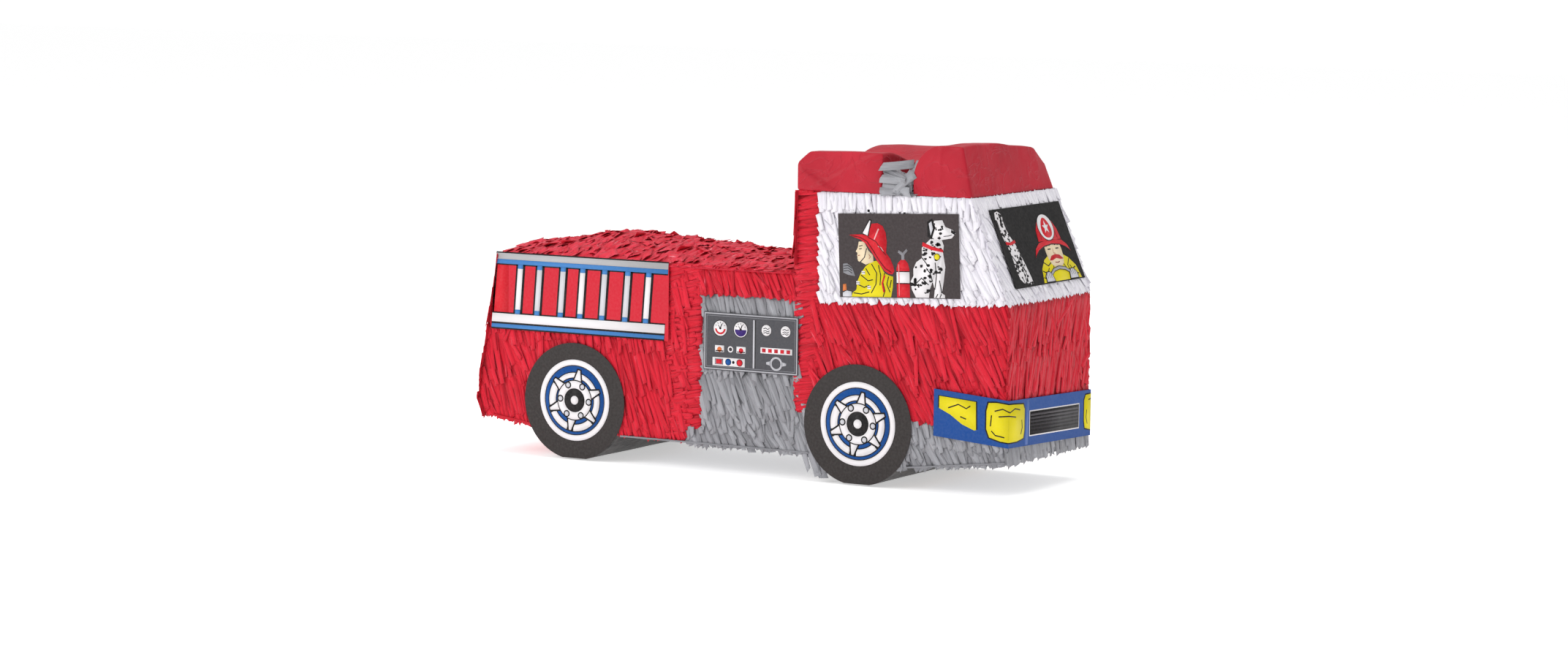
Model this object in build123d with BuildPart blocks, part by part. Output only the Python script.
from build123d import *
import os
from math import atan2, degrees, hypot, sqrt

# A fire-engine pinata, as a party-goods workshop makes it. Two corrugated side panels with the
# engine's silhouette are joined by card strips that follow the outline, so the body is a hollow box
# for sweets. Fringed tissue is glued all over it in red, white and grey, and printed card cut-outs
# (wheels, ladder, pump panel, windows, bumper) are glued on the tissue. Two card blocks wrapped in
# plain red paper stand on the cab roof. A flap in the rear panel, creased along its top edge,
# opens the box for filling, and a hole in the roof takes the hanging cord.
#
# Frame: X runs along the engine towards its nose, Y to its left-hand side, Z up. The origin is on
# the ground below the middle of the bounding box. "right" is the side at -Y, "left" is at +Y.

# ---- sheet materials, mm ----
card = 3.0  # corrugated card of the body
thin_card = 2.0  # folding card of the roof blocks
layer = 3.0  # fringed tissue, as it stands off the card
top_layer = 4.0  # the fluffed-up tissue on the bed
tread = 1.5  # black crepe under the wheels
print_card = 0.5  # printed card stock
wrap = 0.5  # plain paper pulled over the roof blocks
kerf = 0.4  # knife cut round the filling flap
glue_gap = 0.3  # between curved pieces that are glued

# ---- body ----
body_length = 540.0  # foot of the rear panel to the front panel
body_width = 160.0  # outside the two side panels
bed_length = 327.0  # foot of the rear panel to the back of the cab
bed_height = 186.0
bed_crown_rear = 6.0  # how far the bed's top bulges over its edges at the tail
bed_crown_peak = 20.0  # at its highest
bed_crown_front = 4.0  # and at the cab
bed_peak_run = 85.0  # from the tail's upper edge to the highest place
roof_height = 262.0
belt_height = 171.0  # foot of the windscreen
screen_run = 38.0  # how far the windscreen slopes back
rear_lean = 12.0  # how far the rear panel slopes forward
floor_height = 26.0
tail_floor_height = 36.0  # the underside rises behind the rear wheels
nose_start_height = 16.0  # the underside just ahead of the front wheels
nose_floor_height = 33.0  # and in front of the front ones
rear_flare = 14.0  # how far the tissue at the tail stands out

# ---- wheels ----
wheel_radius = 55.5
wheel_print_inset = 0.7  # how far the printed wheels stay inside the treads
wheel_flat = 26.0  # flat foot under each wheel
wheel_inset_rear = 91.0  # rear panel's foot to the rear wheels
wheel_inset_front = 148.0  # front panel to the front wheels

# ---- colour zones on the sides ----
pump_bay_start = 228.0  # rear panel's foot to the grey bay
pump_bay_length = 102.0
pump_bay_height = 163.0
step_back = 17.0  # the grey foot reaches this far behind the bay
step_height = 40.0
cab_skirt_rear = 60.0  # height of the grey skirt behind and before the front wheels
cab_skirt_front = 61.0
white_start = 22.0  # back of the cab to the white tissue
white_foot = 163.0  # height of the white tissue's rear lower corner

# ---- printed pieces ----
ladder_length = 184.0
ladder_height = 73.0
pump_print_length = 99.0
pump_print_height = 53.0
pump_print_foot = 94.0
pump_print_inset = 3.0  # bay's edge to the print
window_length = 121.0
window_height = 75.0
window_inset = 22.0  # white tissue's edge to the print
window_foot = 171.0
window_tilt = 2.5  # degrees, nose end up
screen_print_width = 140.0
screen_print_offset = 7.0  # towards the left-hand side
screen_print_height = 74.0
screen_print_foot = 12.0  # above the belt, along the slope
bumper_height = 42.0
bumper_foot = 44.5
bumper_return_right = 74.0  # along the right-hand side
bumper_return_left = 92.0  # the strip is glued off-centre, so it reaches further round the left
bumper_rise = 6.0  # the returns climb towards the tail
bumper_droop = 6.0  # its left-hand end hangs lower

# ---- roof blocks ----
rear_block_length = 85.0
rear_block_height = 36.0
rear_block_rear_height = 24.0  # where the sloping back corner starts
rear_block_corner = 13.0  # length of that corner
rear_block_sag = 12.0  # how far its top dips between the sides
rear_block_slump = 20.0  # how far it slumps outside the left-hand crest
rear_block_rim = 11.0  # flat rim along the right-hand side of the dip
rear_block_crest = 50.0  # where the dip's left-hand crest lies, from the middle
front_block_length = 57.0
front_block_height = 45.0
front_block_top = 19.0  # length of its flat top
front_block_step = 16.0  # upright part of its back
front_block_run = 10.0  # slope of its front
front_block_corner = 22.0  # crushed corner at its left-hand end
front_block_fall = 7.0  # how far its top falls before that corner
block_width = 162.0

# ---- filling flap ----
flap_width = 112.0
flap_height = 88.0
flap_foot = 24.0  # from the rear panel's foot, along the slope
flap_tissue_gap = 12.0  # bare strip above the crease
flap_tissue_side_gap = 1.0
stop_tab_length = 22.0
stop_tab_width = 16.0
stop_tab_reach = 7.0  # into the opening, behind the flap
bulkhead_window_width = 96.0
bulkhead_window_height = 100.0
bulkhead_window_foot = 34.0
bulkhead_window_radius = 12.0

# ---- hanging point ----
hang_radius = 5.0
hang_plate_width = 90.0
hang_plate_length = 70.0
hang_stick_radius = 4.0
hang_stick_length = 110.0
tab_length = 30.0  # glue tabs along the inside corners
tab_width = 18.0
tab_card = 1.0

# ---- places worked out from the sizes above ----
front_proud = layer + print_card
rear_x = -(body_length + rear_flare + front_proud) / 2 + rear_flare
front_x = rear_x + body_length
cab_x = rear_x + bed_length
rear_top_x = rear_x + rear_lean
screen_top_x = front_x - screen_run
half_width = body_width / 2
inner_half = half_width - card
outer_half = half_width + layer
card_radius = wheel_radius - tread
wheel_print_radius = wheel_radius - wheel_print_inset
hub_height = sqrt(wheel_radius**2 - (wheel_flat / 2) ** 2)
rear_wheel_x = rear_x + wheel_inset_rear
front_wheel_x = front_x - wheel_inset_front
bump_reach = sqrt(card_radius**2 - (hub_height - floor_height) ** 2) + 9.0
bay_x = rear_x + pump_bay_start
bay_end_x = bay_x + pump_bay_length
white_x = cab_x + white_start
rear_block_x = cab_x
front_block_x = screen_top_x - front_block_length
channel_x = rear_block_x + rear_block_length  # the gap between the two blocks
far = 2 * body_length  # longer than anything that it has to cut

made = {}


def finish(name, part):
    """Labels a finished piece and keeps it for export under its node name."""
    part.label = name
    made[name] = part


def mitred(points, grow):
    """The corners of a polygon whose every side has moved outwards by grow. The points run
    counterclockwise round the side view (X to the right, Z up)."""
    moved = []
    for i, (x, z) in enumerate(points):
        (xa, za), (xb, zb) = points[i - 1], points[(i + 1) % len(points)]
        la, lb = hypot(x - xa, z - za), hypot(xb - x, zb - z)
        na = ((z - za) / la, (xa - x) / la)  # outward normals of the two sides that meet here
        nb = ((zb - z) / lb, (x - xb) / lb)
        reach = grow / (1 + na[0] * nb[0] + na[1] * nb[1])
        moved.append((x + reach * (na[0] + nb[0]), z + reach * (na[1] + nb[1])))
    return moved


def outline(grow=0.0):
    """The engine's silhouette as the side panels are cut, or the same grown on every side."""
    corners = (
        (rear_x, tail_floor_height),
        (rear_wheel_x - wheel_flat / 2, floor_height),
        (front_wheel_x - wheel_flat / 2, floor_height),
        (front_wheel_x + wheel_flat / 2, nose_start_height),
        (front_x, nose_floor_height),
        (front_x, belt_height),
        (screen_top_x, roof_height),
        (cab_x, roof_height),
        (cab_x, bed_height),
        (rear_top_x, bed_height),
    )
    with BuildSketch() as shape:
        Polygon(*mitred(corners, grow), align=None)
        with Locations((rear_wheel_x, hub_height), (front_wheel_x, hub_height)):
            Circle(card_radius + grow)
        zone(-far, far, -far, tread - grow, Mode.SUBTRACT)
    return shape.sketch


def zone(x0, x1, z0, z1, mode=Mode.INTERSECT):
    """A rectangle of the side view, by default keeping only what lies in it."""
    Polygon((x0, z0), (x1, z0), (x1, z1), (x0, z1), align=None, mode=mode)


def strip(name, half, thickness, *limits):
    """A band along the outline, thickness inwards if negative and outwards if positive, right
    across the body from -half to half, cut to a rectangle of the side view."""
    with BuildPart() as band:
        with BuildSketch(Plane.XZ):
            add(outline(max(thickness, 0)))
            add(outline(min(thickness, 0)), mode=Mode.SUBTRACT)
            zone(*limits)
        extrude(amount=half, both=True)
    finish(name, band.part)


# ---------------------------------------------------------------- body: side panels and strips
for side, hand in ((1, "right"), (-1, "left")):
    with BuildPart() as side_panel:
        with BuildSketch(Plane.XZ.offset(side * half_width)):
            add(outline())
        extrude(amount=-side * card)
    finish(f"side_panel_{hand}", side_panel.part)

rear_bump = (rear_wheel_x - bump_reach, rear_wheel_x + bump_reach)
front_bump = (front_wheel_x - bump_reach, front_wheel_x + bump_reach)
below_hubs = hub_height  # the strips under the body all lie below the hubs
strip("tail_floor_strip", inner_half, -card, rear_x, rear_bump[0], 0, tail_floor_height)
strip("rear_wheel_strip", inner_half, -card, *rear_bump, 0, below_hubs)
strip("middle_floor_strip", inner_half, -card, rear_bump[1], front_bump[0], 0, below_hubs)
strip("front_wheel_strip", inner_half, -card, *front_bump, 0, below_hubs)
strip("nose_floor_strip", inner_half, -card, front_bump[1], front_x - card, 0, below_hubs)
strip("front_panel", inner_half, -card, front_x - card, far, 0, belt_height)
strip(
    "windscreen_panel", inner_half, -card,
    channel_x, far, belt_height, roof_height - card,
)  # fmt: skip

with BuildPart() as roof_panel:
    with BuildSketch(Plane.XY.offset(roof_height - card)):
        with Locations(((cab_x + screen_top_x) / 2, 0)):
            Rectangle(screen_top_x - cab_x, 2 * inner_half)
        with Locations(((channel_x + front_block_x) / 2, 0)):
            Circle(hang_radius, mode=Mode.SUBTRACT)
    extrude(amount=card)
finish("roof_panel", roof_panel.part)


# ---------------------------------------------------------------- bed top
def crown(half, foot, rise, thickness, inner=None):
    """The bed's cross-section: an arched band over the side panels. The band's underside is flat
    outside inner, where it lies on the tops of the side panels and their tissue."""
    inner = inner or half
    with BuildSketch() as section:
        with BuildLine():
            under = ThreePointArc((-inner, foot), (0, foot + rise), (inner, foot))
            over = ThreePointArc(
                (-half, foot + thickness), (0, foot + rise + thickness), (half, foot + thickness)
            )
            Line((-half, foot), over @ 0)
            Line((half, foot), over @ 1)
            if inner < half:
                Line((-half, foot), under @ 0)
                Line((half, foot), under @ 1)
        make_face()
    return section.sketch


def across(x):
    """The plane across the body at x, with its own X along the body's Y."""
    return Plane(origin=(x, 0, 0), x_dir=(0, 1, 0), z_dir=(1, 0, 0))


bed_peak_x = rear_top_x + bed_peak_run


def bed_rise(x):
    """The bulge of the bed's top at x: it climbs from the tail to its peak, then falls to the cab."""
    if x < bed_peak_x:
        end_x, end_rise = rear_top_x, bed_crown_rear
    else:
        end_x, end_rise = cab_x, bed_crown_front
    return bed_crown_peak + (end_rise - bed_crown_peak) * (x - bed_peak_x) / (end_x - bed_peak_x)


with BuildPart() as bed_top:
    for x in (rear_top_x, bed_peak_x, cab_x):
        with BuildSketch(across(x)):
            add(crown(inner_half, bed_height - card, bed_rise(x), card))
    loft(ruled=True)
finish("bed_top_panel", bed_top.part)

with BuildPart() as bed_top_tissue:
    for x in (rear_top_x - layer, bed_peak_x, cab_x - layer):
        with BuildSketch(across(x)):
            add(crown(outer_half, bed_height, bed_rise(x) + glue_gap, top_layer, inner_half + glue_gap))
    loft(ruled=True)
finish("bed_top_tissue", bed_top_tissue.part)

# ---------------------------------------------------------------- rear panel and filling flap
slope_length = hypot(rear_lean, bed_height - tail_floor_height)
slope_angle = degrees(atan2(rear_lean, bed_height - tail_floor_height))
# On this plane X is the body's Y, Y climbs the rear panel's outer face and Z points into the body.
rear_face = Plane(
    origin=(rear_x, 0, tail_floor_height),
    x_dir=(0, 1, 0),
    z_dir=(bed_height - tail_floor_height, 0, -rear_lean),
)
flap_middle = flap_foot + flap_height / 2
crease = rear_face.from_local_coords(Vector(0, flap_foot + flap_height, 0))

with BuildPart() as rear_panel:
    with BuildSketch(Plane.XZ):
        Polygon(
            (rear_x, tail_floor_height),
            (rear_x + card, tail_floor_height),
            (rear_top_x + card, bed_height - card - glue_gap),
            (rear_top_x, bed_height - card - glue_gap),
            align=None,
        )
    extrude(amount=inner_half, both=True)
    # the gable under the arched bed top
    with BuildSketch(across(rear_top_x)):
        with BuildLine():
            gable_foot = bed_height - card - glue_gap
            gable = ThreePointArc(
                (-inner_half, gable_foot),
                (0, gable_foot + bed_crown_rear),
                (inner_half, gable_foot),
            )
            Line(gable @ 0, gable @ 1)
        make_face()
    extrude(amount=card)
    with BuildSketch(rear_face):
        with Locations((0, flap_middle)):
            Rectangle(flap_width + 2 * kerf, flap_height + 2 * kerf)
    extrude(amount=4 * card, both=True, mode=Mode.SUBTRACT)
finish("rear_panel", rear_panel.part)

with BuildPart() as flap:
    with BuildSketch(rear_face):
        with Locations((0, flap_middle)):
            Rectangle(flap_width, flap_height)
    extrude(amount=card)
finish("filling_flap", flap.part)

with BuildPart() as flap_stops:
    with BuildSketch(rear_face.offset(card + glue_gap)):
        for y in (-flap_width / 3, flap_width / 3):
            with Locations((y, flap_foot + stop_tab_reach - stop_tab_width / 2)):
                Rectangle(stop_tab_length, stop_tab_width)
    extrude(amount=thin_card)
finish("flap_stop_tabs", flap_stops.part)


def tail_wedge():
    """The flaring tissue on the rear panel, as one solid right across the body."""
    with BuildPart() as wedge:
        with BuildSketch(Plane.XZ):
            Polygon(
                (rear_x, tail_floor_height),
                (rear_top_x, bed_height),
                (rear_top_x - layer, bed_height),
                (rear_x - rear_flare, (2 * tail_floor_height + bed_height) / 3 - rear_flare),
                (rear_x - rear_flare, tail_floor_height + rear_flare),
                (rear_x - rear_flare / 2, tail_floor_height),
                align=None,
            )
        extrude(amount=outer_half, both=True)
    return wedge.part


with BuildPart() as tail_tissue:
    add(tail_wedge())
    with BuildSketch(rear_face):
        with Locations((0, flap_middle + flap_tissue_gap / 2)):
            Rectangle(
                flap_width + 2 * flap_tissue_side_gap,
                flap_height + 2 * flap_tissue_side_gap + flap_tissue_gap,
            )
    extrude(amount=-4 * rear_flare, mode=Mode.SUBTRACT)
finish("tail_tissue", tail_tissue.part)

with BuildPart() as flap_tissue:
    add(tail_wedge())
    with BuildSketch(rear_face.offset(-glue_gap)):
        with Locations((0, flap_middle - 1)):
            Rectangle(flap_width, flap_height - 2)
    extrude(amount=-4 * rear_flare, mode=Mode.INTERSECT)
finish("flap_tissue", flap_tissue.part)

# ---------------------------------------------------------------- inside the body
with BuildPart() as bulkhead:
    with BuildSketch(across(cab_x)):
        bulkhead_height = roof_height - floor_height - 2 * card
        with Locations((0, floor_height + card + bulkhead_height / 2)):
            Rectangle(2 * inner_half, bulkhead_height)
        with Locations((0, bulkhead_window_foot + bulkhead_window_height / 2)):
            RectangleRounded(
                bulkhead_window_width,
                bulkhead_window_height,
                bulkhead_window_radius,
                mode=Mode.SUBTRACT,
            )
    extrude(amount=card)
finish("cab_bulkhead", bulkhead.part)

hang_x = (channel_x + front_block_x) / 2
with BuildPart() as hang_plate:
    with BuildSketch(Plane.XY.offset(roof_height - 2 * card)):
        with Locations((hang_x, 0)):
            Rectangle(hang_plate_length, hang_plate_width)
            Circle(hang_radius, mode=Mode.SUBTRACT)
    extrude(amount=card)
finish("hanging_plate", hang_plate.part)

with BuildPart() as hang_stick:
    stick_height = roof_height - 2 * card - hang_stick_radius - glue_gap
    with BuildSketch(Plane.XZ):
        with Locations((hang_x, stick_height)):
            Circle(hang_stick_radius)
    extrude(amount=hang_stick_length / 2, both=True)
finish("hanging_stick", hang_stick.part)

with BuildPart() as glue_tabs:
    tab_places = [
        (x, floor_height + card)
        for x in (rear_bump[1] + tab_length, (rear_bump[1] + front_bump[0]) / 2)
    ]
    for side in (1, -1):
        with BuildSketch(Plane.XZ.offset(side * inner_half)):
            for x, z in tab_places:
                with Locations((x, z + tab_width / 2)):
                    Rectangle(tab_length, tab_width)
            for z in (nose_floor_height + 2 * tab_length, belt_height - tab_length):
                with Locations((front_x - card - tab_width / 2, z)):
                    Rectangle(tab_width, tab_length)
        extrude(amount=-side * tab_card)
finish("glue_tabs", glue_tabs.part)


# ---------------------------------------------------------------- roof blocks and their paper
def block_part(profile, half, top_cut=None):
    """A roof block's solid: its side profile right across the roof, less its top cut."""
    with BuildPart() as block:
        with BuildSketch(Plane.XZ):
            add(profile)
        extrude(amount=half, both=True)
        if top_cut:
            with BuildSketch(across(rear_x)):
                add(top_cut)
            extrude(amount=far, mode=Mode.SUBTRACT)
    return block.part


def rear_profile(inset=0.0):
    """The rear block from the side, shrunk by inset all round but for its foot."""
    foot = roof_height
    with BuildSketch() as shape:
        Polygon(
            (rear_block_x + inset, foot + max(inset, 0)),
            (channel_x - inset, foot + max(inset, 0)),
            (channel_x - inset, foot + rear_block_height - inset),
            (rear_block_x + rear_block_corner, foot + rear_block_height - inset - 2),
            (rear_block_x + inset, foot + rear_block_rear_height - inset),
            align=None,
        )
    return shape.sketch


def front_profile(inset=0.0):
    """The front block from the side: an upright step, a quarter round, a short top, a slope."""
    foot, top = roof_height + max(inset, 0), roof_height + front_block_height - inset
    back = front_block_x + inset
    nose = screen_top_x - inset
    round_end = nose - front_block_run - front_block_top
    with BuildSketch() as shape:
        with BuildLine():
            Polyline(
                (round_end, top),
                (nose - front_block_run, top),
                (nose, foot),
                (back, foot),
                (back, roof_height + front_block_step),
            )
            EllipticalCenterArc(
                (round_end, roof_height + front_block_step),
                round_end - back,
                top - roof_height - front_block_step,
                start_angle=90,
                arc_size=90,
            )
        make_face()
    return shape.sketch


def sag_cut(inset=0.0):
    """The dip along the top of the rear block and the slump outside its left-hand crest."""
    top = roof_height + rear_block_height - inset
    start, crest = rear_block_rim - block_width / 2, rear_block_crest
    with BuildSketch() as shape:
        with BuildLine():
            dip = ThreePointArc(
                (start, top), ((start + crest) / 2, top - rear_block_sag), (crest, top)
            )
            Polyline(
                dip @ 1,
                (block_width / 2 + 2 * wrap, top - rear_block_slump),
                (far, top - rear_block_slump),
                (far, far),
                (start, far),
                dip @ 0,
            )
        make_face()
    return shape.sketch


def corner_cut(inset=0.0):
    """The falling top and the crushed upper corner at the front block's left-hand end."""
    top = roof_height + front_block_height - inset
    end = block_width / 2 - inset
    with BuildSketch() as shape:
        Polygon(
            (-front_block_corner, top),
            (end - front_block_corner, top - front_block_fall),
            (end, top - front_block_corner),
            (far, top - front_block_corner),
            (far, far),
            (-front_block_corner, far),
            align=None,
        )
    return shape.sketch


roof_blocks = (
    ("rear", rear_profile, sag_cut),
    ("front", front_profile, corner_cut),
)
for name, profile, cut in roof_blocks:
    solid = block_part(profile(), block_width / 2, cut())
    hollow = block_part(profile(thin_card), block_width / 2 - thin_card, cut(thin_card))
    paper = block_part(profile(-wrap), block_width / 2 + wrap, cut(-wrap))
    with BuildPart() as box:
        add(solid)
        add(hollow, mode=Mode.SUBTRACT)
    finish(f"{name}_roof_block", box.part)
    with BuildPart() as skin:
        add(paper)
        add(solid, mode=Mode.SUBTRACT)
    finish(f"{name}_block_paper", skin.part)

# ---------------------------------------------------------------- tissue round the edges
strip("rear_wheel_tread", outer_half, tread, *rear_bump, -far, below_hubs)
strip("front_wheel_tread", outer_half, tread, *front_bump, -far, below_hubs)
strip("tail_floor_tissue", outer_half, tread, rear_x, rear_bump[0], -far, tail_floor_height)
strip("middle_floor_tissue", outer_half, tread, rear_bump[1], front_bump[0], -far, below_hubs)
strip("nose_floor_tissue", outer_half, tread, front_bump[1], front_x, -far, below_hubs)
strip("front_grey_tissue", outer_half, layer, front_x, far, -far, cab_skirt_front)
strip("front_red_tissue", outer_half, layer, front_x, far, cab_skirt_front, belt_height)
strip(
    "windscreen_tissue", outer_half, layer,
    front_block_x, far, belt_height, roof_height,
)  # fmt: skip
strip(
    "cab_back_tissue", outer_half, layer,
    cab_x - layer, cab_x,
    bed_height + bed_crown_front + top_layer + glue_gap, roof_height,
)  # fmt: skip

with BuildPart() as roof_tissue:
    with BuildSketch(Plane.XY.offset(roof_height)):
        with Locations((hang_x, 0)):
            Rectangle(front_block_x - channel_x - 2 * wrap, 2 * outer_half)
            Circle(hang_radius + layer, mode=Mode.SUBTRACT)
    extrude(amount=layer)
finish("roof_channel_tissue", roof_tissue.part)


# ---------------------------------------------------------------- tissue on the sides
def white_zone(mode=Mode.INTERSECT):
    """The white tissue round the cab's windows."""
    Polygon(
        (white_x, white_foot), (front_x, belt_height), (far, far), (white_x, far),
        align=None, mode=mode,
    )  # fmt: skip


def cab_zone(mode=Mode.INTERSECT):
    """Everything of the side that belongs to the cab above its grey skirt."""
    Polygon(
        (bay_end_x, cab_skirt_rear), (front_x, cab_skirt_front), (far, far), (cab_x, far),
        (cab_x, bed_height), (bay_end_x, bed_height),
        align=None, mode=mode,
    )  # fmt: skip


def bed_zone(mode=Mode.INTERSECT):
    """The red tissue of the bed: round the ladder, behind the pump bay and above it."""
    Polygon(
        (-far, -far), (bay_x - step_back, -far), (bay_x - step_back, step_height),
        (bay_x, step_height), (bay_x, pump_bay_height), (bay_end_x, pump_bay_height),
        (bay_end_x, bed_height), (cab_x, bed_height), (cab_x, far), (-far, far),
        align=None, mode=mode,
    )  # fmt: skip


side_zones = (
    ("bed_side_tissue", (bed_zone,), ()),
    ("cab_side_tissue", (cab_zone,), (white_zone,)),
    ("window_tissue", (white_zone,), ()),
    ("skirt_tissue", (), (bed_zone, cab_zone)),
)
for side, hand in ((1, "right"), (-1, "left")):
    for name, keep, cut in side_zones:
        with BuildPart() as tissue:
            with BuildSketch(Plane.XZ.offset(side * half_width)):
                add(outline())
                for area in keep:
                    area()
                for area in cut:
                    area(Mode.SUBTRACT)
            extrude(amount=side * layer)
        finish(f"{name}_{hand}", tissue.part)


# ---------------------------------------------------------------- printed card on the tissue
def side_print(name, draw):
    """A flat printed piece glued on each side, drawn in side view."""
    for side, hand in ((1, "right"), (-1, "left")):
        with BuildPart() as piece:
            with BuildSketch(Plane.XZ.offset(side * outer_half)):
                draw()
            extrude(amount=side * print_card)
        finish(f"{name}_{hand}", piece.part)


def wheel_disc(x):
    """A printed wheel, with the flat foot that it stands on."""
    with Locations((x, hub_height)):
        Circle(wheel_print_radius)
    zone(-far, far, wheel_print_inset, far)


def ladder_print():
    """The ladder on its rack, along the bed's upper edge."""
    top = bed_height + top_layer
    tail = rear_top_x - layer
    Polygon(
        (tail, top),
        (tail + ladder_length, top),
        (tail + ladder_length, top - ladder_height),
        (tail - ladder_height * rear_lean / (bed_height - tail_floor_height), top - ladder_height),
        align=None,
    )
    with Locations((rear_wheel_x, hub_height)):  # it is cut round a wheel that reaches it
        Circle(wheel_print_radius + glue_gap, mode=Mode.SUBTRACT)


def pump_print():
    """The pump operator's panel in the grey bay."""
    x = bay_x + pump_print_inset
    with Locations((x + pump_print_length / 2, pump_print_foot + pump_print_height / 2)):
        Rectangle(pump_print_length, pump_print_height)


def window_print():
    """The side window of the cab."""
    with Locations((white_x + window_inset + window_length / 2, window_foot + window_height / 2)):
        Rectangle(window_length, window_height, rotation=window_tilt)


side_print("rear_wheel_print", lambda: wheel_disc(rear_wheel_x))
side_print("front_wheel_print", lambda: wheel_disc(front_wheel_x))
side_print("ladder_print", ladder_print)
side_print("pump_panel_print", pump_print)
side_print("side_window_print", window_print)

# On this plane X is the body's Y, Y climbs the windscreen and Z points out of it.
screen_rise = roof_height - belt_height
screen_face = Plane(
    origin=(front_x, 0, belt_height), x_dir=(0, 1, 0), z_dir=(screen_rise, 0, screen_run)
)
with BuildPart() as screen_print:
    with BuildSketch(screen_face.offset(layer)):
        with Locations((screen_print_offset, screen_print_foot + screen_print_height / 2)):
            Rectangle(screen_print_width, screen_print_height)
    extrude(amount=print_card)
finish("windscreen_print", screen_print.part)

nose, side_face = front_x + layer, outer_half + print_card
with BuildPart() as bumper:
    with BuildSketch(across(nose)):
        low, high = bumper_foot, bumper_foot + bumper_height
        Polygon(
            (-side_face, low), (side_face, low - bumper_droop),
            (side_face, high - bumper_droop), (-side_face, high),
            align=None,
        )  # fmt: skip
    extrude(amount=print_card)
    for side, drop, bumper_return in (
        (1, 0.0, bumper_return_right),
        (-1, bumper_droop, bumper_return_left),
    ):
        with BuildSketch(Plane.XZ.offset(side * outer_half)):
            Polygon(
                (nose, low - drop), (nose, high - drop),
                (nose - bumper_return, high - drop + bumper_rise),
                (nose - bumper_return, low - drop + bumper_rise),
                align=None,
            )  # fmt: skip
        extrude(amount=side * print_card)
finish("bumper_print", bumper.part)

# ---------------------------------------------------------------- export
for name, part in made.items():
    export_step(part, f"parts/{name}.step")
print(len(made), "pieces; crease at", crease, "leaning", round(slope_angle, 3), "degrees")
